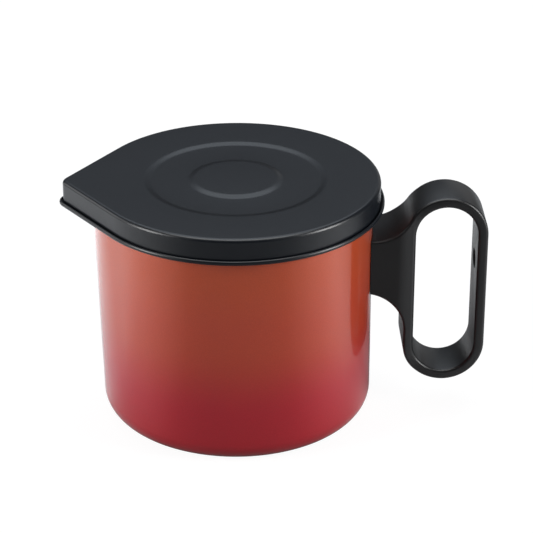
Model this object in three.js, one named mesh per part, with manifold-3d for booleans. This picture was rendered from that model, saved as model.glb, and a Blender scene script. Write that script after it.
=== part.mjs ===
// Grease container: a drawn steel pot with a pouring spout, a pressed lid that follows the spout,
// a drop-in strainer under the lid and a moulded loop handle screwed to a welded bracket.
// Millimetres, +Z up. The origin is the centre of the pot's flat base, +X points to the handle
// and the spout points along -X.
import * as THREE from 'three';
import { mergeVertices } from 'three/addons/utils/BufferGeometryUtils.js';
import Module from 'manifold-3d';

const wasm = await Module();
wasm.setup();

// Shared allowances
const gap = 0.3; // air left between pieces that touch or fit
const overrun = 2; // how far a cutting tool passes through what it cuts
const round_steps = 48; // points round the pot, the lid and the spout
const strainer_steps = 40; // points round each strainer piece

// Pot
const pot_radius = 66.5; // outside of the wall
const pot_height = 119.6; // base to the top of the rolled rim
const pot_sheet = 0.6;
const base_corner_radius = 10.5;
const rim_roll_radius = 1.6; // outside radius of the rolled rim

// Spout, drawn out of the wall below the rim
const spout_reach = 13.3; // how far the spout's tip stands out from the round wall
const spout_tip_radius = 2.4;
const lean_start_height = 11; // the wall starts to lean towards the spout here
const flare_drop = 10.4; // height over which the lean turns into the open spout
const flare_margin = 2; // fully open spout to the top of the rim
const lean_share = 0.22; // how much of the spout's reach the lean has taken when the flare starts

// Lid
const lid_sheet = 0.6;
const skirt_clearance = 0.5; // between the rolled rim and the inside of the lid's skirt
const skirt_depth = 12.65; // lid's top face to the lowest point of its hem
const lid_edge_radius = 0.9; // outside rounding between the lid's top and its skirt
const hem_radius = 1.25; // outside radius of the skirt's rolled hem
const recess_depth = 0.8; // pressed ring in the lid's top
const recess_inner_radius = 21.5; // middle of the inner slope
const recess_outer_radius = 42.7; // middle of the outer slope
const recess_slope_width = 4.6;

// Strainer
const strainer_sheet = 0.5;
const strainer_side_clearance = 0.5; // between the strainer's wall and the pot's
const strainer_wall_depth = 16; // top of the flange to the underside of the mesh ledge
const strainer_bend_radius = 1.5; // inside radius where the flange turns down into the wall
const ledge_width = 4.5; // inward ledge that carries the mesh
const mesh_sheet = 0.5; // thickness of the woven mesh
const mesh_bowl_depth = 16;
const clamp_ring_height = 6;

// Handle
const handle_width = 25; // across the pot's radius, along Y
const handle_bar = 5.05; // thickness of the loop's bar
const handle_edge_radius = 1.5;
const loop_inner_radius = 15.1; // round ends of the finger opening
const loop_bottom_height = 15.2; // lowest point of the handle
const loop_top_drop = 5.5; // top of the rim to the highest point of the handle
const web_length = 20.5; // the web joins the loop to the pot: wall to finger opening
const web_height = 28.6; // where it meets the wall
const web_width = 31.5; // along Y
const web_top_drop = 20.7; // highest point of the handle to the web's top
const web_fillet_radius = 21;
const taper_length = 12; // along X, from the web's full width to the loop's
const taper_overlap = 3; // how far the taper runs past the finger side
const taper_steps = 5;

// Handle fixing
const screw_rise = 11.7; // bottom of the web to the screw's axis
const screw_radius = 2.5;
const screw_head_radius = 4.6;
const screw_head_height = 3;
const screw_recess_depth = 1.6;
const screw_recess_length = 5;
const screw_recess_width = 1.2;
const screw_tip_length = 0.8; // what stands out behind the nut
const screw_tip_clearance = 2; // pot wall to the screw's tip
const screw_head_sink = 0.2; // how far the head lies below the web's face
const counterbore_clearance = 0.6; // round the screw's head
const access_clearance = 0.4; // the hole in the loop's outer bar lets the head and a driver through
const washer_thickness = 1.2;
const washer_slit = 0.8;
const bracket_sheet = 1.5;
const bracket_width = 16; // along Y
const bracket_flange = 2.7; // how far each welded flange runs past its leg
const nut_width = 9;
const nut_thickness = 4;
const nut_side_clearance = 1; // between the nut and each leg of the bracket

// Sizes that follow from those above
const rim_roll_centre = rim_roll_radius - pot_sheet; // reach of the roll's centre from the wall
const rim_reach = rim_roll_centre + rim_roll_radius;
const lid_top = pot_height + gap + strainer_sheet + gap + lid_sheet;
const skirt_inner_reach = rim_reach + skirt_clearance;
const skirt_reach = skirt_inner_reach + lid_sheet;
const hem_centre_reach = skirt_inner_reach + hem_radius;
const hem_height = lid_top - skirt_depth + hem_radius;
const strainer_seat = pot_height + gap;
const flare_end_height = pot_height - flare_margin;
const flare_start_height = flare_end_height - flare_drop;
const loop_top_height = pot_height - loop_top_drop;
const web_top_height = loop_top_height - web_top_drop;
const web_bottom_height = web_top_height - web_height;
const screw_height = web_bottom_height + screw_rise;

// Finishes
const painted_steel = { color: 0xb5452b, roughness: 0.25, metalness: 0.35 };
const black_enamel = { color: 0x2f3236, roughness: 0.4, metalness: 0.2 };
const stainless_steel = { color: 0xb9bcc0, roughness: 0.3, metalness: 1 };
const phenolic = { color: 0x222326, roughness: 0.5, metalness: 0 };
const zinc_steel = { color: 0xa8abad, roughness: 0.4, metalness: 1 };

// A point on the pot's plan outline, where the wall faces the given direction. A blend of 0 is the
// round pot and 1 is the full spout; reach moves the point outwards, square to the wall.
function outline(direction, blend, reach) {
  const facing = new THREE.Vector2(Math.cos(direction), Math.sin(direction));
  const circle = facing.clone().multiplyScalar(pot_radius);
  const tip_centre = new THREE.Vector2(spout_tip_radius - pot_radius - spout_reach, 0);
  const tip = facing.clone().multiplyScalar(spout_tip_radius).add(tip_centre);
  const spout = tip.dot(facing) > circle.dot(facing) ? tip : circle;
  return circle.lerp(spout, blend).addScaledVector(facing, reach);
}

// A closed shell swept round the outline. Each station is { blend, reach, height }, or { height }
// alone for the middle of a floor or a top. A profile that has no middle closes on itself.
function sweep(stations, steps) {
  const places = [];
  const rows = stations.map((station) => {
    const first = places.length / 3;
    if (station.reach === undefined) {
      places.push(0, 0, station.height);
      return Array(steps).fill(first);
    }
    return Array.from({ length: steps }, (unused, turn) => {
      const point = outline((turn / steps) * 2 * Math.PI, station.blend, station.reach);
      places.push(point.x, point.y, station.height);
      return first + turn;
    });
  });
  const faces = [];
  const ring = stations[0].reach !== undefined;
  for (let i = 0; i < rows.length - (ring ? 0 : 1); i += 1) {
    const low = rows[i];
    const high = rows[(i + 1) % rows.length];
    for (let turn = 0; turn < steps; turn += 1) {
      const next = (turn + 1) % steps;
      if (low[turn] !== low[next]) faces.push(low[turn], low[next], high[next]);
      if (high[turn] !== high[next]) faces.push(low[turn], high[next], high[turn]);
    }
  }
  const geometry = new THREE.BufferGeometry();
  geometry.setAttribute('position', new THREE.Float32BufferAttribute(places, 3));
  geometry.setIndex(faces);
  return geometry;
}

// Stations along an arc in the profile's plane, from one angle in degrees to another.
function arc(reach, height, radius, from, to, steps, blend) {
  return Array.from({ length: steps + 1 }, (unused, i) => {
    const angle = THREE.MathUtils.degToRad(from + ((to - from) * i) / steps);
    return { blend, reach: reach + radius * Math.cos(angle), height: height + radius * Math.sin(angle) };
  });
}

// A station on a circle of the given radius round the pot's axis.
function circular(radius, height) {
  return { blend: 0, reach: radius - pot_radius, height };
}

// Turns a closed geometry into a solid that can be cut and joined, and back.
function solid(geometry) {
  const bare = geometry.clone();
  bare.deleteAttribute('normal');
  bare.deleteAttribute('uv');
  const merged = mergeVertices(bare);
  return new wasm.Manifold(new wasm.Mesh({
    numProp: 3,
    vertProperties: new Float32Array(merged.attributes.position.array),
    triVerts: new Uint32Array(merged.index.array),
  }));
}

function surface(manifold) {
  const mesh = manifold.getMesh();
  const geometry = new THREE.BufferGeometry();
  geometry.setAttribute('position', new THREE.BufferAttribute(mesh.vertProperties, 3));
  geometry.setIndex(new THREE.BufferAttribute(mesh.triVerts, 1));
  return geometry;
}

// An extrusion whose outline is drawn in X and Z and whose depth runs along Y, centred on Y = 0.
function across(shape, width, bevel, curve_steps) {
  const geometry = new THREE.ExtrudeGeometry(shape, {
    depth: width - 2 * bevel,
    bevelEnabled: bevel > 0,
    bevelThickness: bevel,
    bevelSize: bevel,
    bevelOffset: -bevel,
    bevelSegments: 2,
    curveSegments: curve_steps,
  });
  geometry.translate(0, 0, bevel - width / 2);
  return geometry.rotateX(Math.PI / 2);
}

// A round bar or hole along X, at the screw's height.
function along_screw(radius, from, to, steps) {
  const geometry = new THREE.CylinderGeometry(radius, radius, to - from, steps);
  geometry.rotateZ(Math.PI / 2);
  return geometry.translate((from + to) / 2, 0, screw_height);
}

// Where the wall has got to between the round pot and the full spout, at a given height.
function wall_blend(height) {
  const lean = THREE.MathUtils.clamp(
    (height - lean_start_height) / (flare_start_height - lean_start_height), 0, 1);
  const flare = THREE.MathUtils.smoothstep(height, flare_start_height, flare_end_height);
  return lean_share * lean + (1 - lean_share) * flare;
}

// Pot: flat base, rounded corner, a wall that opens into the spout, and the rim rolled outwards.
function pot_shell() {
  const flare_steps = 6;
  const flare_heights = Array.from({ length: flare_steps + 1 }, (unused, i) =>
    THREE.MathUtils.lerp(flare_start_height, flare_end_height, i / flare_steps));
  const heights = [lean_start_height, ...flare_heights];
  const wall = (reach) => heights.map((height) => ({ blend: wall_blend(height), reach, height }));
  const roll_height = pot_height - rim_roll_radius;
  const inner_corner = base_corner_radius - pot_sheet;
  return sweep([
    { height: 0 },
    ...arc(-base_corner_radius, base_corner_radius, base_corner_radius, -90, 0, 6, 0),
    ...wall(0),
    ...arc(rim_roll_centre, roll_height, rim_roll_radius - pot_sheet, 180, -90, 6, 1),
    ...arc(rim_roll_centre, roll_height, rim_roll_radius, -90, 180, 9, 1),
    ...wall(-pot_sheet).reverse(),
    ...arc(-base_corner_radius, base_corner_radius, inner_corner, 0, -90, 5, 0),
    { height: pot_sheet },
  ], round_steps);
}

// Lid: a flat top with one pressed ring, a rounded edge, a plain skirt and an outward rolled hem.
function lid_shell() {
  const slope = (middle, from, to, face) => Array.from({ length: 5 }, (unused, i) => {
    const share = i / 4;
    const drop = THREE.MathUtils.lerp(from, to, THREE.MathUtils.smoothstep(share, 0, 1));
    return circular(middle + recess_slope_width * (share - 0.5), face - drop);
  });
  const pressed = (face) => [
    { height: face },
    ...slope(recess_inner_radius, 0, recess_depth, face),
    ...slope(recess_outer_radius, recess_depth, 0, face),
  ];
  const edge_reach = skirt_reach - lid_edge_radius;
  const edge_height = lid_top - lid_edge_radius;
  const inner_edge_radius = lid_edge_radius - lid_sheet;
  return sweep([
    ...pressed(lid_top - lid_sheet),
    ...arc(edge_reach, edge_height, inner_edge_radius, 90, 0, 3, 1),
    ...arc(hem_centre_reach, hem_height, hem_radius, -180, 100, 8, 1),
    ...arc(hem_centre_reach, hem_height, hem_radius - lid_sheet, 100, -180, 6, 1),
    ...arc(edge_reach, edge_height, lid_edge_radius, 0, 90, 4, 1),
    ...pressed(lid_top).reverse(),
  ], round_steps);
}

// Strainer: a flanged ring with a ledge, a woven mesh bowl on the ledge and a ring that clamps it.
const strainer_radius = pot_radius - pot_sheet - strainer_side_clearance;
const ledge_bottom = strainer_seat + strainer_sheet - strainer_wall_depth;
const ledge_inner_radius = strainer_radius - strainer_sheet - ledge_width;
const mesh_bottom = ledge_bottom + strainer_sheet + gap;
const mesh_radius = strainer_radius - strainer_sheet - gap;
const clamp_bottom = mesh_bottom + mesh_sheet + gap;

function strainer_ring() {
  const bend_centre = strainer_radius + strainer_bend_radius;
  const bend_height = strainer_seat - strainer_bend_radius;
  const flange_radius = pot_radius + rim_reach - gap;
  const over = arc(bend_centre - pot_radius, bend_height, strainer_bend_radius + strainer_sheet, 180, 90, 4, 0);
  const under = arc(bend_centre - pot_radius, bend_height, strainer_bend_radius, 90, 180, 4, 0);
  return sweep([
    circular(ledge_inner_radius, ledge_bottom),
    circular(strainer_radius - strainer_sheet, ledge_bottom),
    circular(strainer_radius, ledge_bottom + strainer_sheet),
    ...under.reverse(),
    circular(flange_radius, strainer_seat),
    circular(flange_radius, strainer_seat + strainer_sheet),
    ...over.reverse(),
    circular(strainer_radius - strainer_sheet, ledge_bottom + strainer_sheet),
    circular(ledge_inner_radius, ledge_bottom + strainer_sheet),
  ], strainer_steps);
}

// The bowl is part of a sphere that meets the flat edge at the ledge's inner radius.
function strainer_mesh_bowl() {
  const mouth = ledge_inner_radius - gap;
  const sphere = (mouth * mouth + mesh_bowl_depth * mesh_bowl_depth) / (2 * mesh_bowl_depth);
  const steps = 5;
  const bowl = (lift) => Array.from({ length: steps }, (unused, i) => {
    const radius = (mouth * (i + 1)) / steps;
    const sag = Math.sqrt(sphere * sphere - radius * radius) - (sphere - mesh_bowl_depth);
    return circular(radius, mesh_bottom + lift - sag);
  });
  return sweep([
    { height: mesh_bottom - mesh_bowl_depth },
    ...bowl(0),
    circular(mesh_radius, mesh_bottom),
    circular(mesh_radius, mesh_bottom + mesh_sheet),
    ...bowl(mesh_sheet).reverse(),
    { height: mesh_bottom - mesh_bowl_depth + mesh_sheet },
  ], strainer_steps);
}

function strainer_clamp() {
  return sweep([
    circular(ledge_inner_radius, clamp_bottom),
    circular(mesh_radius, clamp_bottom),
    circular(mesh_radius, clamp_bottom + clamp_ring_height),
    circular(mesh_radius - strainer_sheet, clamp_bottom + clamp_ring_height),
    circular(mesh_radius - strainer_sheet, clamp_bottom + strainer_sheet),
    circular(ledge_inner_radius, clamp_bottom + strainer_sheet),
  ], strainer_steps);
}

// Handle: a long loop with a web that sweeps out of it in two fillets, widens towards the pot and
// hugs its wall.
const loop_outer_radius = loop_inner_radius + handle_bar;
const finger_side_x = pot_radius + web_length;
const loop_centre_x = finger_side_x + loop_inner_radius;
const loop_side_x = loop_centre_x - loop_outer_radius; // the loop's face on the pot's side
const taper_outer_x = finger_side_x + taper_overlap;
const taper_inner_x = taper_outer_x - taper_length;
const screw_tip_x = pot_radius + screw_tip_clearance;
const nut_back_x = screw_tip_x + screw_tip_length;
const nut_front_x = nut_back_x + nut_thickness;
const bracket_front_x = nut_front_x + gap + bracket_sheet;
const bracket_leg_span = nut_width + 2 * nut_side_clearance; // between the legs' inner faces
const pocket_floor_x = bracket_front_x + gap;
const head_x = finger_side_x - screw_head_sink - screw_head_height;
const washer_x = head_x - gap - washer_thickness;
const counterbore_x = washer_x - gap;

function handle_outline() {
  const low = loop_bottom_height + loop_outer_radius;
  const high = loop_top_height - loop_outer_radius;
  const upper_fillet_height = web_top_height + web_fillet_radius;
  const rise = upper_fillet_height - high;
  const reach = loop_outer_radius + web_fillet_radius;
  const upper_fillet_x = loop_centre_x - Math.sqrt(reach * reach - rise * rise);
  const meeting = Math.atan2(rise, upper_fillet_x - loop_centre_x);
  const lower_fillet_radius = Math.min(web_fillet_radius, web_bottom_height - low);
  const lower_fillet_height = web_bottom_height - lower_fillet_radius;
  const shape = new THREE.Shape();
  shape.moveTo(0, web_bottom_height);
  shape.absarc(loop_side_x - lower_fillet_radius, lower_fillet_height, lower_fillet_radius, Math.PI / 2, 0, true);
  shape.absarc(loop_centre_x, low, loop_outer_radius, Math.PI, 2 * Math.PI, false);
  shape.absarc(loop_centre_x, high, loop_outer_radius, 0, meeting, false);
  shape.absarc(upper_fillet_x, upper_fillet_height, web_fillet_radius, meeting - Math.PI, -Math.PI / 2, true);
  shape.lineTo(0, web_top_height);
  const opening = new THREE.Path();
  opening.absarc(loop_centre_x, low, loop_inner_radius, Math.PI, 2 * Math.PI, false);
  opening.absarc(loop_centre_x, high, loop_inner_radius, 0, Math.PI, false);
  shape.holes.push(opening);
  return shape;
}

// The handle without its holes. It is cut in slices along X, so that its sides can open in a curve
// from the loop's width to the web's.
function spread_handle() {
  const slices = [];
  let rest = solid(across(handle_outline(), handle_width, handle_edge_radius, 10));
  for (let i = 0; i <= taper_steps; i += 1) {
    const cut_x = THREE.MathUtils.lerp(taper_outer_x, taper_inner_x, i / taper_steps);
    const [slice, inner] = rest.splitByPlane([1, 0, 0], cut_x);
    slices.push(slice);
    rest = inner;
  }
  slices.push(rest);
  const widen = (place) => {
    const share = THREE.MathUtils.smoothstep(place[0], taper_inner_x, taper_outer_x);
    place[1] *= THREE.MathUtils.lerp(web_width / handle_width, 1, share);
  };
  return slices.map((slice) => slice.warp(widen)).reduce((body, slice) => body.add(slice));
}

// A plain cylinder as high as the pot, used to shape what is fitted against its wall.
function wall_tool() {
  const tool = new THREE.CylinderGeometry(pot_radius + gap, pot_radius + gap, pot_height + overrun, 180);
  return solid(tool.rotateX(Math.PI / 2).translate(0, 0, pot_height / 2));
}

function handle_moulding() {
  const half_leg = bracket_leg_span / 2 + bracket_sheet + bracket_flange + gap;
  const pocket = new THREE.BoxGeometry(pocket_floor_x, bracket_width + 2 * gap, 2 * half_leg);
  pocket.translate(pocket_floor_x / 2, 0, screw_height);
  const shank_hole = along_screw(screw_radius + gap, 0, finger_side_x, 24);
  const counterbore = along_screw(screw_head_radius + counterbore_clearance, counterbore_x, loop_centre_x, 32);
  const outer_side_x = loop_centre_x + loop_outer_radius;
  const access = along_screw(screw_head_radius + access_clearance, loop_centre_x, outer_side_x + overrun, 32);
  return surface([pocket, shank_hole, counterbore, access].reduce(
    (body, tool) => body.subtract(solid(tool)), spread_handle().subtract(wall_tool())));
}

// Bracket: a strip bent into a hat, its two flanges welded to the wall and its front drilled.
function bracket_strip() {
  const inside = bracket_leg_span / 2;
  const outside = inside + bracket_sheet;
  const tip = outside + bracket_flange;
  const flange_x = pot_radius + gap + bracket_sheet;
  const shape = new THREE.Shape([
    new THREE.Vector2(0, -tip),
    new THREE.Vector2(flange_x, -tip),
    new THREE.Vector2(flange_x, -outside),
    new THREE.Vector2(bracket_front_x, -outside),
    new THREE.Vector2(bracket_front_x, outside),
    new THREE.Vector2(flange_x, outside),
    new THREE.Vector2(flange_x, tip),
    new THREE.Vector2(0, tip),
    new THREE.Vector2(0, inside),
    new THREE.Vector2(bracket_front_x - bracket_sheet, inside),
    new THREE.Vector2(bracket_front_x - bracket_sheet, -inside),
    new THREE.Vector2(0, -inside),
  ]);
  const strip = across(shape, bracket_width, 0, 1).translate(0, 0, screw_height);
  const hole = along_screw(screw_radius + gap, 0, bracket_front_x + overrun, 24);
  return surface(solid(strip).subtract(wall_tool()).subtract(solid(hole)));
}

// Square weld nut behind the bracket's front face.
function weld_nut() {
  const block = new THREE.BoxGeometry(nut_thickness, nut_width, nut_width);
  block.translate((nut_front_x + nut_back_x) / 2, 0, screw_height);
  const hole = along_screw(screw_radius + gap, nut_back_x - overrun, nut_front_x + overrun, 24);
  return surface(solid(block).subtract(solid(hole)));
}

// Split spring washer on the counterbore's floor, its slit cut on the slant.
function spring_washer() {
  const ring = along_screw(screw_head_radius, washer_x, washer_x + washer_thickness, 32);
  const hole = along_screw(screw_radius + gap, washer_x - overrun, washer_x + overrun, 24);
  const slit = new THREE.BoxGeometry(2 * overrun, washer_slit, screw_head_radius + overrun);
  slit.translate(0, 0, (screw_head_radius + overrun) / 2);
  slit.rotateZ(Math.PI / 9);
  slit.translate(washer_x + washer_thickness / 2, 0, screw_height);
  return surface(solid(ring).subtract(solid(hole)).subtract(solid(slit)));
}

// Pan-head screw with a cross recess, driven from the finger side of the loop.
function handle_screw() {
  const crown = screw_head_height / 3; // how much of the head's height is rounded over
  const shank = head_x - screw_tip_x;
  const profile = [
    new THREE.Vector2(0, 0),
    new THREE.Vector2(screw_radius - screw_tip_length, 0),
    new THREE.Vector2(screw_radius, screw_tip_length),
    new THREE.Vector2(screw_radius, shank),
    new THREE.Vector2(screw_head_radius, shank),
    new THREE.Vector2(screw_head_radius, shank + screw_head_height - 2 * crown),
    new THREE.Vector2(screw_head_radius - crown / 2, shank + screw_head_height - crown),
    new THREE.Vector2(screw_head_radius - 2 * crown, shank + screw_head_height),
    new THREE.Vector2(0, shank + screw_head_height),
  ];
  const turned = new THREE.LatheGeometry(profile, 32).rotateZ(-Math.PI / 2);
  turned.translate(screw_tip_x, 0, screw_height);
  const recess_x = head_x + screw_head_height;
  const recess = [screw_recess_width, screw_recess_length].map((size, i, sizes) =>
    new THREE.BoxGeometry(2 * screw_recess_depth, size, sizes[1 - i]).translate(recess_x, 0, screw_height));
  return surface(recess.reduce((body, tool) => body.subtract(solid(tool)), solid(turned)));
}

// Every piece, with its finish
const pieces = [
  ['pot_body', pot_shell(), painted_steel],
  ['lid', lid_shell(), black_enamel],
  ['strainer_rim', strainer_ring(), stainless_steel],
  ['strainer_mesh', strainer_mesh_bowl(), stainless_steel],
  ['strainer_clamp_ring', strainer_clamp(), stainless_steel],
  ['handle', handle_moulding(), phenolic],
  ['handle_bracket', bracket_strip(), zinc_steel],
  ['bracket_nut', weld_nut(), zinc_steel],
  ['spring_washer', spring_washer(), zinc_steel],
  ['handle_screw', handle_screw(), zinc_steel],
];

const container = new THREE.Group();
for (const [name, geometry, finish] of pieces) {
  const mesh = new THREE.Mesh(geometry, new THREE.MeshStandardMaterial(finish));
  mesh.name = name;
  container.add(mesh);
}

export default container;
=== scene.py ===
# %% [markdown]
# # A grease container
# A drawn steel pot keeps strained cooking fat under a pressed lid, and both follow one pouring spout.
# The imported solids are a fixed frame. This lesson gives each of them the smooth surface and the
# finish of the real piece, and it never moves or resizes one.

# %% The frame
import math

import bpy
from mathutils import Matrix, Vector


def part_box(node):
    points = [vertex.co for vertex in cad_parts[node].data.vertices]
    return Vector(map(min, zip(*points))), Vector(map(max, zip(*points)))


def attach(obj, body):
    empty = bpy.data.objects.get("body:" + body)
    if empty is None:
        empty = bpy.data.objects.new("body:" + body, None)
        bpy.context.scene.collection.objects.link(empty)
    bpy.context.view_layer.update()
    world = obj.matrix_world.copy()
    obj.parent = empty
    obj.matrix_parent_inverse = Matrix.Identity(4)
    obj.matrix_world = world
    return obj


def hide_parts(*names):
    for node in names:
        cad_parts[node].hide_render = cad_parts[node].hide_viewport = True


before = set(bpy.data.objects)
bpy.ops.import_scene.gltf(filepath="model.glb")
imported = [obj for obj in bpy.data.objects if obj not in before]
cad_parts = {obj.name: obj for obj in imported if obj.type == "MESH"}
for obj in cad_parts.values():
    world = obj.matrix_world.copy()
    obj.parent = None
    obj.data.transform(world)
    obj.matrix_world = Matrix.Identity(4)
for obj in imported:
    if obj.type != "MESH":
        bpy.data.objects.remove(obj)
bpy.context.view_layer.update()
MM = 0.001

# %% [markdown]
# ## The camera
# The photograph looks down on the pot with a long lens, so verticals hardly converge. A camera can be
# placed by eye, or worked out from the lid's ellipse and the walls. The second gives an angle, a
# distance and a lens that hold for every piece at once, so it is used here.

# %% Camera
camera_tilt = math.radians(26.233)
camera_turn = math.radians(1.7)
camera_distance = 1093.4 * MM
camera_lens = 150.1
camera_target = Vector((14.8, -0.6, 73.5)) * MM

level = Vector((-math.sin(camera_turn), -math.cos(camera_turn), 0)) * math.cos(camera_tilt)
camera_place = camera_target + (level + Vector((0, 0, math.sin(camera_tilt)))) * camera_distance
bpy.ops.object.camera_add(location=camera_place, rotation=(math.pi / 2 - camera_tilt, 0, -camera_turn))
camera = bpy.context.object
camera.data.lens = camera_lens
bpy.context.scene.camera = camera
print("camera at", [round(value / MM) for value in camera_place], "mm")

# %% [markdown]
# ## Nodes and colours
# Every finish below is a small node tree. Colours are written as sRGB hex, as a paint chart gives
# them, and turned to linear once. Pattern sizes are real millimetres, read from Object coordinates,
# so they stay on the piece when it moves.

# %% Colour and node helpers
def linear(code):
    """An sRGB hex colour as linear RGBA."""
    channels = [int(code[i:i + 2], 16) / 255 for i in (1, 3, 5)]
    return [c / 12.92 if c < 0.04045 else ((c + 0.055) / 1.055) ** 2.4 for c in channels] + [1]


def add_node(tree, kind, inputs=None, **settings):
    """Adds a node. Each input is a value, or the socket of another node to link from."""
    node = tree.nodes.new(kind)
    for name, value in settings.items():
        setattr(node, name, value)
    for name, value in (inputs or {}).items():
        if isinstance(value, bpy.types.NodeSocket):
            tree.links.new(value, node.inputs[name])
        else:
            node.inputs[name].default_value = value
    return node


def new_material(name, **shader_inputs):
    """A material with one Principled shader, whose uniform values are set on its own sockets."""
    material = bpy.data.materials.new(name)
    material.use_nodes = True
    tree = material.node_tree
    shader = tree.nodes["Principled BSDF"]
    for socket, value in shader_inputs.items():
        shader.inputs[socket.replace("_", " ")].default_value = value
    place = add_node(tree, "ShaderNodeTexCoord").outputs["Object"]
    return material, tree, shader, place


def fine_noise(tree, place, size, detail=2.0):
    """Soft noise whose blotches are about the given size across."""
    return add_node(tree, "ShaderNodeTexNoise", {"Vector": place, "Scale": 1 / size, "Detail": detail})


def remap(tree, value, low, high, start=0.0, end=1.0):
    """Turns a value that runs from start to end into one that runs from low to high."""
    return add_node(tree, "ShaderNodeMapRange", {
        "Value": value, "From Min": start, "From Max": end, "To Min": low, "To Max": high}).outputs["Result"]


def relief(tree, shader, height, depth, socket="Normal"):
    """Raises the surface by a height from 0 to 1 times the given depth."""
    bump = add_node(tree, "ShaderNodeBump", {"Height": height, "Distance": depth})
    tree.links.new(bump.outputs["Normal"], shader.inputs[socket])


print("sRGB mid grey is", round(linear("#808080")[0], 3), "in linear light")

# %% [markdown]
# ## Modelling by hand, in code
# A pot, a lid and a ring are all one profile turned round an axis. The profile is drawn as a person
# would draw it: a vertex is extruded from point to point and the wire is then spun. Merging the
# doubled seam and recalculating the normals leaves a closed body that faces outwards.

# %% Modelling helpers
turn_steps = 240
merge_distance = 0.001 * MM


def arc(centre, radius, start, end, steps):
    """Points of a profile along an arc, from one angle in degrees to another."""
    angles = [math.radians(start + (end - start) * i / steps) for i in range(steps + 1)]
    return [(centre[0] + radius * math.cos(a), centre[1] + radius * math.sin(a)) for a in angles]


def ease(value, start, end):
    """How far a value has gone from start to end, from 0 to 1, with no corner at either end."""
    share = min(max((value - start) / (end - start), 0), 1)
    return share * share * (3 - 2 * share)


def start_piece(name):
    """Opens a new mesh object in edit mode, with nothing in it yet."""
    bpy.ops.object.select_all(action="DESELECT")
    bpy.ops.mesh.primitive_plane_add(size=MM)
    piece = bpy.context.object
    piece.name = name
    bpy.ops.object.mode_set(mode="EDIT")
    bpy.ops.mesh.select_mode(type="VERT")
    bpy.ops.mesh.delete(type="VERT")
    return piece


def draw_wire(points):
    """Draws a wire: a plane merged to one vertex, moved to its start and extruded along the points."""
    bpy.ops.mesh.primitive_plane_add(size=MM)
    bpy.ops.mesh.merge(type="CENTER")
    bpy.ops.transform.translate(value=points[0])
    for here, there in zip(points, points[1:]):
        bpy.ops.mesh.extrude_vertices_move(TRANSFORM_OT_translate={"value": Vector(there) - Vector(here)})


def close_piece():
    """Merges doubles, turns every face outwards and leaves edit mode."""
    bpy.ops.mesh.select_all(action="SELECT")
    bpy.ops.mesh.remove_doubles(threshold=merge_distance)
    bpy.ops.mesh.normals_make_consistent(inside=False)
    bpy.ops.object.mode_set(mode="OBJECT")


def spin_profile(name, profile, axis=(0, 0, 1), centre=(0, 0, 0), steps=turn_steps):
    """Spins a profile of (radius, place along the axis) points into a closed piece."""
    piece = start_piece(name)
    upright = axis[2] == 1
    draw_wire([(r, 0, h) if upright else (h, 0, r + centre[2]) for r, h in profile])
    bpy.ops.mesh.select_all(action="SELECT")
    bpy.ops.mesh.spin(steps=steps, angle=math.tau, center=centre, axis=axis)
    close_piece()
    return piece


print("a turned piece has", turn_steps, "steps")

# %% Modifier and finish helpers
smooth_angle = math.radians(32)


def use_modifier(piece, kind, **settings):
    """Adds a modifier with its settings and applies it."""
    bpy.ops.object.select_all(action="DESELECT")
    piece.select_set(True)
    bpy.context.view_layer.objects.active = piece
    modifier = piece.modifiers.new(kind.lower(), kind)
    for name, value in settings.items():
        setattr(modifier, name, value)
    bpy.ops.object.modifier_apply(modifier=modifier.name)


def cut(piece, tool):
    """Takes the tool's solid out of the piece and throws the tool away."""
    use_modifier(piece, "BOOLEAN", operation="DIFFERENCE", solver="EXACT", object=tool)
    bpy.data.objects.remove(tool)


def dress(piece, body, node, slot, *materials):
    """Gives a finished piece its materials, its smooth shading and its place in the frame."""
    for material in materials:
        piece.data.materials.append(material)
    bpy.ops.object.select_all(action="DESELECT")
    piece.select_set(True)
    bpy.context.view_layer.objects.active = piece
    bpy.ops.object.shade_smooth_by_angle(angle=smooth_angle)
    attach(piece, body)
    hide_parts(node)
    print(piece.name, len(piece.data.polygons), "faces")


print("edges under", round(math.degrees(smooth_angle)), "degrees are shaded smooth")

# %% [markdown]
# ## The outline that the pot and the lid share
# Seen from above, the rim is a teardrop: a circle and a small tip circle, joined by two straight
# flanks. A lattice or proportional editing would only come near it. Instead each point of a spun
# ring moves to the place on the teardrop that faces the same way, so walls keep their thickness and
# the lid fits the pot all round. Lower down, the wall takes only a share of that move.

# %% Spout helper
pot_low, pot_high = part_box("pot_body")
pot_sheet = 0.6 * MM
rim_roll_radius = 1.6 * MM
rim_reach = 2 * rim_roll_radius - pot_sheet
pot_radius = pot_high.x - rim_reach
spout_length = -pot_low.x - rim_reach
spout_tip_radius = 2.4 * MM


def pull_spout(piece, share_at):
    """Pulls a spun piece's rings out to the spout; share_at gives the share for a radius and height."""
    tip_centre = Vector((spout_tip_radius - spout_length, 0))
    for vertex in piece.data.vertices:
        radius = vertex.co.xy.length
        facing = vertex.co.xy.normalized()
        if spout_tip_radius + tip_centre.dot(facing) > pot_radius:
            share = share_at(radius, vertex.co.z)
            moved = facing * (radius + share * (spout_tip_radius - pot_radius)) + share * tip_centre
            vertex.co.xy = moved


print("pot radius", round(pot_radius / MM, 2), "mm, spout", round(spout_length / MM, 2), "mm")

# %% [markdown]
# ## The pot's coating
# The outside is sprayed: a metallic base coat that fades from orange at the rim to crimson at the
# base, under a clear coat. It could be a plain glossy red, but then the sides would lose the broad
# tinted glow that the metal flake gives them, so a quarter of the shading is metallic and the clear
# coat is a second, sharp layer. A sprayed fade is never an even line, so noise moves it a little.

# %% Sprayed metallic coating
crimson_height = 26 * MM
orange_height = 64 * MM
amber_height = 104 * MM
fade_wander = 3 * MM
spray_cloud_size = 30 * MM
flake_size = 0.5 * MM
orange_peel_size = 2.5 * MM
orange_peel_depth = 0.004 * MM

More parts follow.
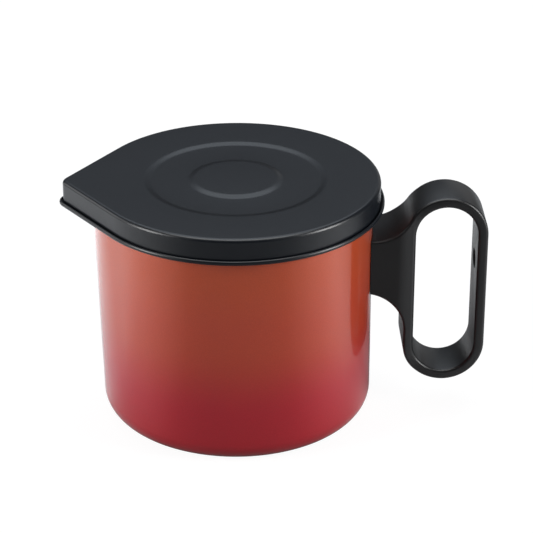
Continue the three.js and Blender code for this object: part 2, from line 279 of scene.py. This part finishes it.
coating, tree, shader, place = new_material(
    "sprayed_metallic_coating", Metallic=0.25, Roughness=0.36, Specular_IOR_Level=0.15,
    Coat_Weight=1.0, Coat_Roughness=0.04, Coat_IOR=1.5)
height = add_node(tree, "ShaderNodeSeparateXYZ", {"Vector": place}).outputs["Z"]
cloud = remap(tree, fine_noise(tree, place, spray_cloud_size).outputs["Fac"], -fade_wander, fade_wander)
mist = add_node(tree, "ShaderNodeMath", {0: height, 1: cloud}, operation="ADD").outputs["Value"]
fade = remap(tree, mist, 0.0, 1.0, crimson_height, amber_height)
ramp = add_node(tree, "ShaderNodeValToRGB", {"Fac": fade})
ramp.color_ramp.interpolation = "EASE"
ramp.color_ramp.elements.new((orange_height - crimson_height) / (amber_height - crimson_height))
for stop, code in zip(ramp.color_ramp.elements, ("#b1232e", "#b34129", "#b44724")):
    stop.color = linear(code)
# The flake is finer than half a millimetre on the real coat; it is drawn coarse enough to show.
flakes = fine_noise(tree, place, flake_size).outputs["Fac"]
flake = remap(tree, flakes, 0.93, 1.07, 0.3, 0.7)
sparkle = add_node(tree, "ShaderNodeMix", {0: 1.0, 6: ramp.outputs["Color"], 7: flake},
                   data_type="RGBA", blend_type="MULTIPLY")
tree.links.new(sparkle.outputs[2], shader.inputs["Base Color"])
# Roughness varies with the same flake, and the clear coat has the faint waves of sprayed lacquer.
tree.links.new(remap(tree, flakes, 0.33, 0.40), shader.inputs["Roughness"])
waves = fine_noise(tree, place, orange_peel_size).outputs["Fac"]
relief(tree, shader, waves, orange_peel_depth, "Coat Normal")
print(coating.name)

# %% [markdown]
# ## The dark coating
# The lid, and the pot's inside, have a charcoal non-stick coating: a thin baked polymer with a
# satin sheen and the faint orange peel of spraying. Its gloss is broad, so the pressed rings of the
# lid show only as soft bands.

# %% Baked charcoal coating
bake_cloud_size = 12 * MM
bake_grain_size = 0.8 * MM
bake_grain_depth = 0.006 * MM

charcoal, tree, shader, place = new_material("baked_charcoal_coating", Roughness=0.3, IOR=1.45)
clouds = fine_noise(tree, place, bake_cloud_size, 4.0).outputs["Fac"]
shade = add_node(tree, "ShaderNodeValToRGB", {"Fac": clouds})
shade.color_ramp.elements[0].color = linear("#0a0e14")
shade.color_ramp.elements[1].color = linear("#0e1218")
tree.links.new(shade.outputs["Color"], shader.inputs["Base Color"])
grain = fine_noise(tree, place, bake_grain_size).outputs["Fac"]
tree.links.new(remap(tree, grain, 0.26, 0.34), shader.inputs["Roughness"])
relief(tree, shader, grain, bake_grain_depth)
print(charcoal.name)

# %% [markdown]
# ## The pot
# The real pot is drawn from one disc of 0.6 mm steel: a flat base, a rounded corner, a straight wall
# and a rim rolled outwards for stiffness. A cylinder with Solidify has none of the roll, so the whole
# section, outside and inside, is one profile. After the spin the wall leans towards the spout and
# then opens into it below the rim.

# %% Pot
base_corner_radius = 10.5 * MM
lean_start = 11 * MM
lean_steps = 6
lean_share = 0.22
flare_below_rim = 2 * MM
flare_height = 10.4 * MM
flare_steps = 24
flare_end = pot_high.z - flare_below_rim
flare_start = flare_end - flare_height
roll_centre = (pot_radius + rim_roll_radius - pot_sheet, pot_high.z - rim_roll_radius)
corner_centre = (pot_radius - base_corner_radius, base_corner_radius)


def wall_share(radius, height):
    """How far the wall has gone from the round pot to the full spout."""
    lean = min(max((height - lean_start) / (flare_start - lean_start), 0), 1)
    return lean_share * lean + (1 - lean_share) * ease(height, flare_start, flare_end)


flare_rings = [flare_start + (flare_end - flare_start) * i / flare_steps for i in range(flare_steps + 1)]
lean_rings = [lean_start + (flare_start - lean_start) * i / lean_steps for i in range(lean_steps)]
wall_rings = lean_rings + flare_rings
outside = [(pot_radius, height) for height in wall_rings]
inside = [(pot_radius - pot_sheet, height) for height in reversed(wall_rings)]
pot = spin_profile("pot", [
    (0, 0), *arc(corner_centre, base_corner_radius, -90, 0, 12), *outside,
    *arc(roll_centre, rim_roll_radius - pot_sheet, 180, -90, 14),
    *arc(roll_centre, rim_roll_radius, -90, 180, 20), *inside,
    *arc(corner_centre, base_corner_radius - pot_sheet, 0, -90, 12), (0, pot_sheet)])
for face in pot.data.polygons:
    within = face.center.xy.length < pot_radius - pot_sheet / 2
    face.material_index = int(within and face.normal.z > -merge_distance)
pull_spout(pot, wall_share)
dress(pot, "pot", "pot_body", "pot_enamel", coating, charcoal)

# %% [markdown]
# ## The lid
# The lid is pressed from one sheet: a flat top with a shallow sunk ring, a small edge radius, a plain
# skirt and a hem that rolls outwards and stays open at its top. The ring's two slopes ease in and out
# like a real press tool's, which is what bends the light into soft bands.

# %% Lid
lid_low, lid_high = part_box("lid")
lid_sheet = 0.6 * MM
lid_edge_radius = 1.9 * MM
hem_radius = 1.25 * MM
hem_end = 55
ring_depth = 0.8 * MM
ring_inner_radius = 21.5 * MM
ring_outer_radius = 42.7 * MM
ring_slope_width = 4.6 * MM
ring_slope_steps = 12
flat_margin = 0.4 * MM
hem_centre = (lid_high.y - hem_radius, lid_low.z + hem_radius)
skirt_radius = hem_centre[0] - hem_radius + lid_sheet
edge_centre = (skirt_radius - lid_edge_radius, lid_high.z - lid_edge_radius)
flat_end = edge_centre[0] - flat_margin
hem_lip = arc(hem_centre, hem_radius - lid_sheet / 2, hem_end, hem_end, 1)[0]


def pressed_top(face):
    """The lid's top from its centre out to its edge, at the height of one of its two faces."""
    slopes = [(0, face)]
    for middle, start, end in ((ring_inner_radius, 0, ring_depth), (ring_outer_radius, ring_depth, 0)):
        for i in range(ring_slope_steps + 1):
            drop = start + (end - start) * ease(i, 0, ring_slope_steps)
            slopes.append((middle + ring_slope_width * (i / ring_slope_steps - 0.5), face - drop))
    return [*slopes, (flat_end, face)]


lid = spin_profile("lid_cover", [
    *pressed_top(lid_high.z - lid_sheet), *arc(edge_centre, lid_edge_radius - lid_sheet, 90, 0, 6),
    *arc(hem_centre, hem_radius, -180, hem_end, 22), *arc(hem_lip, lid_sheet / 2, hem_end, hem_end + 180, 8),
    *arc(hem_centre, hem_radius - lid_sheet, hem_end, -180, 16),
    *arc(edge_centre, lid_edge_radius, 0, 90, 10), *reversed(pressed_top(lid_high.z))])
pull_spout(lid, lambda radius, height: float(radius > ring_outer_radius + ring_slope_width))
dress(lid, "lid", "lid", "lid_enamel", charcoal)

# %% [markdown]
# ## Stainless steel for the strainer
# The strainer's rings are pressed and spun from bright stainless sheet. Spinning leaves very fine
# rings round the axis, so the roughness and a slight relief follow noise that is read only along the
# radius and the height.

# %% Spun stainless steel
spun_line_width = 0.35 * MM
spun_line_depth = 0.004 * MM

stainless, tree, shader, place = new_material("spun_stainless_steel", Metallic=1.0, Roughness=0.25)
shader.inputs["Base Color"].default_value = linear("#c9c8c5")
parts = add_node(tree, "ShaderNodeSeparateXYZ", {"Vector": place})
flat = add_node(tree, "ShaderNodeCombineXYZ", {"X": parts.outputs["X"], "Y": parts.outputs["Y"]})
radius = add_node(tree, "ShaderNodeVectorMath", {0: flat.outputs["Vector"]}, operation="LENGTH")
along = add_node(tree, "ShaderNodeCombineXYZ", {"X": radius.outputs["Value"], "Z": parts.outputs["Z"]})
lines = fine_noise(tree, along.outputs["Vector"], spun_line_width).outputs["Fac"]
tree.links.new(remap(tree, lines, 0.2, 0.34), shader.inputs["Roughness"])
relief(tree, shader, lines, spun_line_depth)
print(stainless.name)

# %% [markdown]
# ## The strainer's two rings
# The photograph doesn't show the strainer: its flange rests on the rolled rim under the lid. The
# outer ring carries a ledge for the wire cloth, and the clamp ring holds the cloth's edge down. Both
# are spun profiles with sheet edges broken by a small bevel.

# %% Strainer rings
rim_low, rim_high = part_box("strainer_rim")
clamp_low, clamp_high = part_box("strainer_clamp_ring")
cloth_low, cloth_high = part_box("strainer_mesh")
strainer_sheet = 0.5 * MM
strainer_bend = 1.5 * MM
ledge_width = 4.5 * MM
sheet_edge = 0.12 * MM
sharp_angle = math.radians(50)
strainer_gap = 0.5 * MM
wall_outer = pot_radius - pot_sheet - strainer_gap
wall_inner = wall_outer - strainer_sheet
ledge_inner = wall_inner - ledge_width
bend_centre = (wall_outer + strainer_bend, rim_high.z - strainer_sheet - strainer_bend)

rim = spin_profile("strainer_ring", [
    (ledge_inner, rim_low.z), (wall_inner, rim_low.z), (wall_outer, rim_low.z + strainer_sheet),
    *arc(bend_centre, strainer_bend, 180, 90, 8), (rim_high.y, bend_centre[1] + strainer_bend),
    (rim_high.y, rim_high.z), *arc(bend_centre, strainer_bend + strainer_sheet, 90, 180, 8),
    (wall_inner, rim_low.z + strainer_sheet), (ledge_inner, rim_low.z + strainer_sheet),
    (ledge_inner, rim_low.z)])
clamp = spin_profile("strainer_clamp", [
    (ledge_inner, clamp_low.z), (clamp_high.y, clamp_low.z), (clamp_high.y, clamp_high.z),
    (clamp_high.y - strainer_sheet, clamp_high.z),
    (clamp_high.y - strainer_sheet, clamp_low.z + strainer_sheet),
    (ledge_inner, clamp_low.z + strainer_sheet), (ledge_inner, clamp_low.z)])
for ring, node in ((rim, "strainer_rim"), (clamp, "strainer_clamp_ring")):
    use_modifier(ring, "BEVEL", width=sheet_edge, segments=2, limit_method="ANGLE", angle_limit=sharp_angle)
    dress(ring, "strainer", node, "stainless", stainless)

# %% [markdown]
# ## The wire cloth
# Real straining cloth has wires a fraction of a millimetre apart. It is drawn coarser here, so that
# the weave shows and the mesh stays light. One pair of crimped wires is extruded, an Array repeats
# it into half of the weave, and a turned, mirrored copy is the other half. The flat cloth is then
# trimmed round and pressed into a bowl, as the real one is.

# %% Half of the weave
wire_pitch = 1.8 * MM
wire_radius = 0.13 * MM
crimps = 72

cloth = start_piece("strainer_wire_cloth")
for row, side in ((0, 1), (1, -1)):
    start = Vector((-crimps / 2 * wire_pitch, (row - crimps / 2) * wire_pitch, side * wire_radius))
    bpy.ops.mesh.primitive_circle_add(
        vertices=4, radius=wire_radius, location=start, rotation=(0, math.pi / 2, 0))
    for turn in (-side, side):
        step = (wire_pitch, 0, 2 * turn * wire_radius)
        bpy.ops.mesh.extrude_region_move(TRANSFORM_OT_translate={"value": step})
bpy.ops.object.mode_set(mode="OBJECT")
for offset in ((2 * wire_pitch, 0, 0), (0, 2 * wire_pitch, 0)):
    use_modifier(cloth, "ARRAY", count=crimps // 2, use_relative_offset=False, use_constant_offset=True,
                 constant_offset_displace=offset, use_merge_vertices=True, merge_threshold=merge_distance)
print("half of the weave", len(cloth.data.polygons), "faces")

# %% The whole cloth, trimmed and pressed
mouth_gap = 0.3 * MM
cloth_middle = cloth_high.z - strainer_sheet / 2
bowl_mouth = ledge_inner - mouth_gap
bowl_depth = cloth_high.z - strainer_sheet - cloth_low.z
bowl_sphere = (bowl_mouth ** 2 + bowl_depth ** 2) / (2 * bowl_depth)

bpy.ops.object.mode_set(mode="EDIT")
bpy.ops.mesh.select_all(action="SELECT")
bpy.ops.mesh.duplicate()
bpy.ops.transform.rotate(value=math.pi / 2, orient_axis="Z", center_override=(0, 0, 0))
bpy.ops.transform.resize(value=(1, 1, -1), center_override=(0, 0, 0))
bpy.ops.mesh.select_all(action="DESELECT")
bpy.ops.object.mode_set(mode="OBJECT")
for vertex in cloth.data.vertices:
    crossing = Vector((round(vertex.co.x / wire_pitch), round(vertex.co.y / wire_pitch)))
    vertex.select = crossing.length * wire_pitch > clamp_high.y - wire_radius
bpy.ops.object.mode_set(mode="EDIT")
bpy.ops.mesh.delete(type="VERT")
bpy.ops.mesh.select_all(action="SELECT")
bpy.ops.mesh.fill_holes(sides=4)
close_piece()
for vertex in cloth.data.vertices:
    across = min(vertex.co.xy.length, bowl_mouth)
    vertex.co.z += cloth_middle - math.sqrt(bowl_sphere ** 2 - across ** 2) + bowl_sphere - bowl_depth
dress(cloth, "strainer", "strainer_mesh", "woven_stainless", stainless)

# %% [markdown]
# ## Phenolic for the handle
# A pot handle that sits near a flame is compression-moulded phenolic. The resin is almost black, and
# its grey is the sheen of the satin skin that it leaves the mould with. Faint clouds show where the
# filler lies nearer the surface.

# %% Moulded phenolic
filler_cloud_size = 6 * MM
skin_grain_size = 0.5 * MM
skin_grain_depth = 0.01 * MM

phenolic, tree, shader, place = new_material("moulded_phenolic", Roughness=0.36, IOR=1.5)
filler = fine_noise(tree, place, filler_cloud_size, 4.0).outputs["Fac"]
clouds = add_node(tree, "ShaderNodeValToRGB", {"Fac": filler})
clouds.color_ramp.elements[0].color = linear("#08080a")
clouds.color_ramp.elements[1].color = linear("#0c0c0e")
tree.links.new(clouds.outputs["Color"], shader.inputs["Base Color"])
skin = fine_noise(tree, place, skin_grain_size, 3.0).outputs["Fac"]
tree.links.new(remap(tree, skin, 0.32, 0.42), shader.inputs["Roughness"])
relief(tree, shader, skin, skin_grain_depth)
print(phenolic.name)

# %% [markdown]
# ## The handle
# The handle is one moulding: a long loop for four fingers, joined to the pot by a wider web that
# sweeps out of the loop in two fillets. Its outline is two wires filled to a face with a hole, extruded
# across and bevelled round both rims. Bisecting it into slices near the loop lets its sides open in a
# curve to the web's width. Boolean cuts fit it to the wall and bore it for the screw.

# %% Handle sizes
handle_low, handle_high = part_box("handle")
handle_bar = 5.05 * MM
handle_edge = 1.5 * MM
loop_half_width = 12.5 * MM
loop_outer = 20.15 * MM
loop_inner = loop_outer - handle_bar
loop_x = handle_high.x - loop_outer
loop_side = loop_x - loop_outer
loop_floor = handle_low.z + loop_outer
loop_roof = handle_high.z - loop_outer
web_fillet = 21 * MM
web_drop = 20.7 * MM
web_height = 28.6 * MM
web_top = handle_high.z - web_drop
web_bottom = web_top - web_height
web_root = 60 * MM
taper_inset = 3 * MM
taper_length = 12 * MM
taper_slices = 10
taper_start = loop_x - loop_inner + taper_inset
taper_end = taper_start - taper_length
print("finger opening", round(2 * loop_inner / MM, 1), "mm across")

# %% Handle outline
fillet_height = web_top + web_fillet
fillet_rise = fillet_height - loop_roof
fillet_x = loop_x - math.sqrt((loop_outer + web_fillet) ** 2 - fillet_rise ** 2)
meeting = math.degrees(math.atan2(fillet_rise, fillet_x - loop_x))
outer_rim = [
    (web_root, web_bottom),
    *arc((loop_side - web_fillet, web_bottom - web_fillet), web_fillet, 90, 0, 24),
    *arc((loop_x, loop_floor), loop_outer, 180, 360, 60),
    *arc((loop_x, loop_roof), loop_outer, 0, meeting, 48),
    *arc((fillet_x, fillet_height), web_fillet, meeting - 180, -90, 20),
    (web_root, web_top), (web_root, web_bottom)]
inner_rim = [
    *arc((loop_x, loop_floor), loop_inner, 180, 360, 54),
    *arc((loop_x, loop_roof), loop_inner, 0, 180, 54),
    (loop_x - loop_inner, loop_floor)]
print("outline points", len(outer_rim), "outside and", len(inner_rim), "inside")

# %% Handle moulding
handle = start_piece("loop_handle")
for outline in (outer_rim, inner_rim):
    draw_wire([(x, -loop_half_width, z) for x, z in outline])
bpy.ops.mesh.select_all(action="SELECT")
bpy.ops.mesh.remove_doubles(threshold=merge_distance)
bpy.ops.mesh.select_mode(type="EDGE")
bpy.ops.mesh.select_all(action="SELECT")
bpy.ops.mesh.fill()
bpy.ops.mesh.select_all(action="SELECT")
bpy.ops.mesh.extrude_region_move(TRANSFORM_OT_translate={"value": (0, 2 * loop_half_width, 0)})
bpy.ops.mesh.select_all(action="SELECT")
bpy.ops.mesh.normals_make_consistent(inside=False)
bpy.ops.mesh.dissolve_limited(angle_limit=math.radians(0.5))
bpy.ops.mesh.select_all(action="DESELECT")
bpy.ops.mesh.edges_select_sharp(sharpness=math.radians(60))
bpy.ops.mesh.bevel(offset=handle_edge, segments=5, affect="EDGES")
for i in range(taper_slices + 1):
    slice_x = taper_start + (taper_end - taper_start) * i / taper_slices
    bpy.ops.mesh.select_all(action="SELECT")
    bpy.ops.mesh.bisect(plane_co=(slice_x, 0, 0), plane_no=(1, 0, 0), threshold=merge_distance)
close_piece()
for vertex in handle.data.vertices:
    vertex.co.y *= 1 + (handle_high.y / loop_half_width - 1) * ease(vertex.co.x, taper_start, taper_end)
print("moulding", len(handle.data.polygons), "faces before its cuts")

# %% [markdown]
# ## Fitting the handle
# The web's end is hollowed to the wall's curve, a pocket takes the welded bracket, and the screw has a
# stepped bore. The screwdriver reaches it through a hole in the outer bar, which is the dark oval that
# shows through the finger opening. Each round tool flares a little at the surface, so that its hole
# has the soft lip of a moulding.

# %% Tools for the handle's holes
screw_low, screw_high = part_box("handle_screw")
screw_height = (screw_low.z + screw_high.z) / 2
lip = 0.4 * MM


def lip_points(radius, face, side):
    """The rounded lip of a hole at a face that looks to the given side along X, its deepest point first."""
    angles = [math.pi / 2 * i / 5 for i in range(6)]
    points = [(radius + lip - lip * math.cos(a), face - side * lip * (1 - math.sin(a))) for a in angles]
    return [*points, (radius + lip, face + side * lip)]


def bore(radius, start, end, lip_at_start=False, lip_at_end=False):
    """A round tool along X at the screw's height, with a lip where it leaves the solid."""
    low = list(reversed(lip_points(radius, start, -1))) if lip_at_start else [(radius, start)]
    high = lip_points(radius, end, 1) if lip_at_end else [(radius, end)]
    profile = [(0, low[0][1]), *low, *high, (0, high[-1][1])]
    return spin_profile("bore", profile, axis=(1, 0, 0), centre=(0, 0, screw_height), steps=64)


print("the bores are", round(screw_height / MM, 1), "mm up")

# %% Handle cuts
bracket_low, bracket_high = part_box("handle_bracket")
fit = 0.3 * MM
driver_hole = 5.0 * MM
head_bore = 5.2 * MM
head_bore_depth = 5 * MM
head_gap = 0.2 * MM
shank_bore = 2.8 * MM
bore_floor = screw_high.x + head_gap - head_bore_depth
finger_face = loop_x - loop_inner

bpy.ops.mesh.primitive_cylinder_add(vertices=360, radius=pot_radius + fit, depth=3 * pot_high.z)
cut(handle, bpy.context.object)
pocket_size = Vector((2 * (bracket_high.x + fit), bracket_high.y - bracket_low.y + 2 * fit,
                      bracket_high.z - bracket_low.z + 2 * fit))
bpy.ops.mesh.primitive_cube_add(size=1, location=(0, 0, screw_height), scale=pocket_size)
cut(handle, bpy.context.object)
cut(handle, bore(shank_bore, pot_radius, finger_face))
cut(handle, bore(head_bore, bore_floor, finger_face, lip_at_end=True))
cut(handle, bore(driver_hole, loop_x + loop_inner, handle_high.x, lip_at_start=True, lip_at_end=True))
use_modifier(handle, "WEIGHTED_NORMAL", keep_sharp=True)
dress(handle, "pot", "handle", "phenolic", phenolic)

# %% [markdown]
# ## Zinc-plated fixings
# The bracket, its weld nut, the washer and the screw are plated steel, hidden in the web. Zinc dries
# to a bluish grey with slightly cloudy patches. The flat solids of the frame are right as they are,
# so they stay and only take the finish. The pan-head screw gets a smooth turned head.

# %% Zinc plating and fixings
zinc_patch_size = 2.5 * MM

zinc, tree, shader, place = new_material("zinc_plated_steel", Metallic=1.0, Roughness=0.35)
cloudy = fine_noise(tree, place, zinc_patch_size, 3.0).outputs["Fac"]
patches = add_node(tree, "ShaderNodeValToRGB", {"Fac": cloudy})
patches.color_ramp.elements[0].color = linear("#b4b8bd")
patches.color_ramp.elements[1].color = linear("#c8cbce")
tree.links.new(patches.outputs["Color"], shader.inputs["Base Color"])
for name in ("handle_bracket", "bracket_nut", "spring_washer"):
    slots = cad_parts[name].data.materials
    slots.clear()
    slots.append(zinc)
print(zinc.name)

# %% Screw
head_radius = screw_high.y
head_height = 3 * MM
head_crown = 1.1 * MM
shank_radius = 2.5 * MM
shank_chamfer = 0.8 * MM
recess_depth = 1.6 * MM
recess_span = 5 * MM
recess_slot = 1.2 * MM
head_start = screw_high.x - head_height
crown_centre = (head_radius - head_crown, screw_high.x - head_crown)

screw = spin_profile("pan_head_screw", [
    (0, screw_low.x), (shank_radius - shank_chamfer, screw_low.x),
    (shank_radius, screw_low.x + shank_chamfer), (shank_radius, head_start),
    (head_radius, head_start), *arc(crown_centre, head_crown, 0, 90, 8),
    (0, screw_high.x)], axis=(1, 0, 0), centre=(0, 0, screw_height), steps=64)
for size in ((recess_slot, recess_span), (recess_span, recess_slot)):
    bpy.ops.mesh.primitive_cube_add(size=1, location=(screw_high.x, 0, screw_height),
                                    scale=(2 * recess_depth, *size))
    cut(screw, bpy.context.object)
dress(screw, "pot", "handle_screw", "zinc_steel", zinc)

# %% [markdown]
# ## The studio
# The photograph is a plain catalogue shot: a white surround, broad soft lamps above and to both
# sides, a dim wall behind that the lid's flat top mirrors, and a darker place in front of the pot,
# which is what its middle mirrors. The floor is pale for the camera, and for everything else it is a
# matt surface that the lamps light, with painted light and shade in its tone: painted paler at the
# sides than in front, which paints the darker place in front, and painted darkest round the pot's
# foot. So the coating mirrors a real floor with the pot's own shadow on it, and with that painted
# shade. Three cards are seen only in reflections, as a photographer's white cards are: two draw the
# light line along the lid's edge, and one lightens the handle.

# %% Floor
floor_size = 8.0

bpy.ops.object.select_all(action="DESELECT")
bpy.ops.mesh.primitive_plane_add(size=floor_size)
floor = bpy.context.object
floor.name = "floor"
paper = bpy.data.materials.new("pale_paper_floor")
paper.use_nodes = True
tree = paper.node_tree
print(floor.name, floor_size, "m wide")

# %% The floor's tone, for reflections and for the light that it throws back
# Painted light and shade: the floor's tone round the pot, by degrees from the front, to the left below zero.
painted_floor_tones = [(-180, 0.8), (-125, 1.0), (-90, 0.95), (-80, 0.76), (-35, 0.25), (35, 0.25), (80, 0.74),
               (88, 0.62), (98, 0.27), (110, 0.25), (122, 0.12), (131, 0.36), (148, 0.5), (180, 0.7)]
table_start = 0.6
table_end = 1.2
tone_past_table = 0.2
# Painted shade: the floor's tone is darkest round the pot's foot, where the pot keeps the lamps off it.
foot_shade_start = 0.1
foot_shade_end = 0.22
foot_painted_shade = 0.72
open_tone = 1.1

place = add_node(tree, "ShaderNodeTexCoord").outputs["Object"]
parts = add_node(tree, "ShaderNodeSeparateXYZ", {"Vector": place})
front = add_node(tree, "ShaderNodeMath", {0: parts.outputs["Y"], 1: -1.0}, operation="MULTIPLY")
angle = add_node(
    tree, "ShaderNodeMath", {0: parts.outputs["X"], 1: front.outputs["Value"]}, operation="ARCTAN2")
turned = remap(tree, angle.outputs["Value"], 0.0, 1.0, -math.pi, math.pi)
pale = add_node(tree, "ShaderNodeValToRGB", {"Fac": turned})
for degrees, _ in painted_floor_tones[1:-1]:
    pale.color_ramp.elements.new(degrees / 360 + 0.5)
for stop, (_, grey) in zip(pale.color_ramp.elements, painted_floor_tones):
    stop.color = (grey, grey, grey, 1)
far = add_node(tree, "ShaderNodeVectorMath", {0: place}, operation="LENGTH").outputs["Value"]
near = remap(tree, far, 1.0, tone_past_table, table_start, table_end)
foot = remap(tree, far, foot_painted_shade, open_tone, foot_shade_start, foot_shade_end)
shaded = add_node(tree, "ShaderNodeMath", {0: near, 1: foot}, operation="MULTIPLY").outputs["Value"]
tone = add_node(
    tree, "ShaderNodeMath", {0: pale.outputs["Color"], 1: shaded}, operation="MULTIPLY").outputs["Value"]
print(paper.name, len(painted_floor_tones), "tones")

# %% What the camera and the coatings see of the floor
shadow_grey = 0.12
floor_glow = 0.93
painted_glow_strength = 0.3

matt = tree.nodes["Principled BSDF"]
matt.inputs["Roughness"].default_value = 0.9
tree.links.new(tone, matt.inputs["Base Color"])
seen = add_node(tree, "ShaderNodeBsdfDiffuse", {"Color": (shadow_grey, shadow_grey, shadow_grey, 1)})
glow = add_node(tree, "ShaderNodeEmission", {
    "Color": (floor_glow, floor_glow, floor_glow, 1), "Strength": 1.0})
shown = add_node(tree, "ShaderNodeAddShader", {0: seen.outputs["BSDF"], 1: glow.outputs["Emission"]})
# In a reflection the floor shows its painted tone plus a faint painted glow of that same tone, and it keeps
# the pot's shadow.
painted_glow = add_node(tree, "ShaderNodeEmission", {"Color": tone, "Strength": painted_glow_strength})
mirrored = add_node(tree, "ShaderNodeAddShader", {0: matt.outputs["BSDF"], 1: painted_glow.outputs["Emission"]})
rays = add_node(tree, "ShaderNodeLightPath")
sharp = add_node(tree, "ShaderNodeMath", {
    0: rays.outputs["Is Glossy Ray"], 1: rays.outputs["Is Transmission Ray"]}, operation="MAXIMUM")
unseen = add_node(tree, "ShaderNodeMixShader", {
    0: sharp.outputs["Value"], 1: matt.outputs["BSDF"], 2: mirrored.outputs["Shader"]})
mix = add_node(tree, "ShaderNodeMixShader", {
    0: rays.outputs["Is Camera Ray"], 1: unseen.outputs["Shader"], 2: shown.outputs["Shader"]})
tree.links.new(mix.outputs["Shader"], tree.nodes["Material Output"].inputs["Surface"])
floor.data.materials.append(paper)
print(paper.name, "has", len(tree.nodes), "nodes")

# %% Lamps and cards
def soft_box(name, place, width, height, power, colour=(1.0, 1.0, 1.0), card=False):
    """A rectangular area lamp that faces the middle of the pot; a card shows only in reflections."""
    bpy.ops.object.light_add(type="AREA", location=place)
    lamp = bpy.context.object
    lamp.name = name
    lamp.visible_camera = False
    lamp.visible_diffuse = not card
    lamp.data.shape = "RECTANGLE"
    lamp.data.size = width
    lamp.data.size_y = height
    lamp.data.energy = power
    lamp.data.color = colour
    lamp.rotation_euler = (camera_target - Vector(place)).to_track_quat("-Z", "Y").to_euler()


soft_box("top_box", (0.0, 0.5, 1.3), 1.4, 1.4, 11.0, colour=(0.84, 0.92, 1.0))
soft_box("back_wall", (0.0, 1.4, 1.05), 3.0, 1.0, 1.9, colour=(0.8, 0.88, 1.0))
soft_box("left_box", (-1.235, -0.44, 0.45), 0.5, 0.8, 14.8)
soft_box("right_box", (1.235, -0.44, 0.45), 0.5, 0.8, 18.0)
soft_box("overhead_card", (0.0, -0.25, 1.35), 1.6, 0.75, 15.0, card=True)
soft_box("left_card", (-1.3, 0.45, 0.5), 0.7, 0.7, 3.5, card=True)
soft_box("back_right_card", (0.6, 1.3, 0.33), 0.7, 0.45, 0.4, card=True)

# %% Surround
fill_strength = 0.06

world = bpy.data.worlds.new("surround")
world.use_nodes = True
bpy.context.scene.world = world
tree = world.node_tree
rays = add_node(tree, "ShaderNodeLightPath")
dim = add_node(tree, "ShaderNodeBackground", {"Color": (1, 1, 1, 1), "Strength": fill_strength})
white = add_node(tree, "ShaderNodeBackground", {"Color": (1, 1, 1, 1), "Strength": 1.0})
mix = add_node(tree, "ShaderNodeMixShader", {
    0: rays.outputs["Is Camera Ray"], 1: dim.outputs["Background"], 2: white.outputs["Background"]})
tree.links.new(mix.outputs["Shader"], tree.nodes["World Output"].inputs["Surface"])
bpy.context.scene.view_settings.view_transform = "Standard"
print(world.name, "white for the camera,", fill_strength, "for the object")
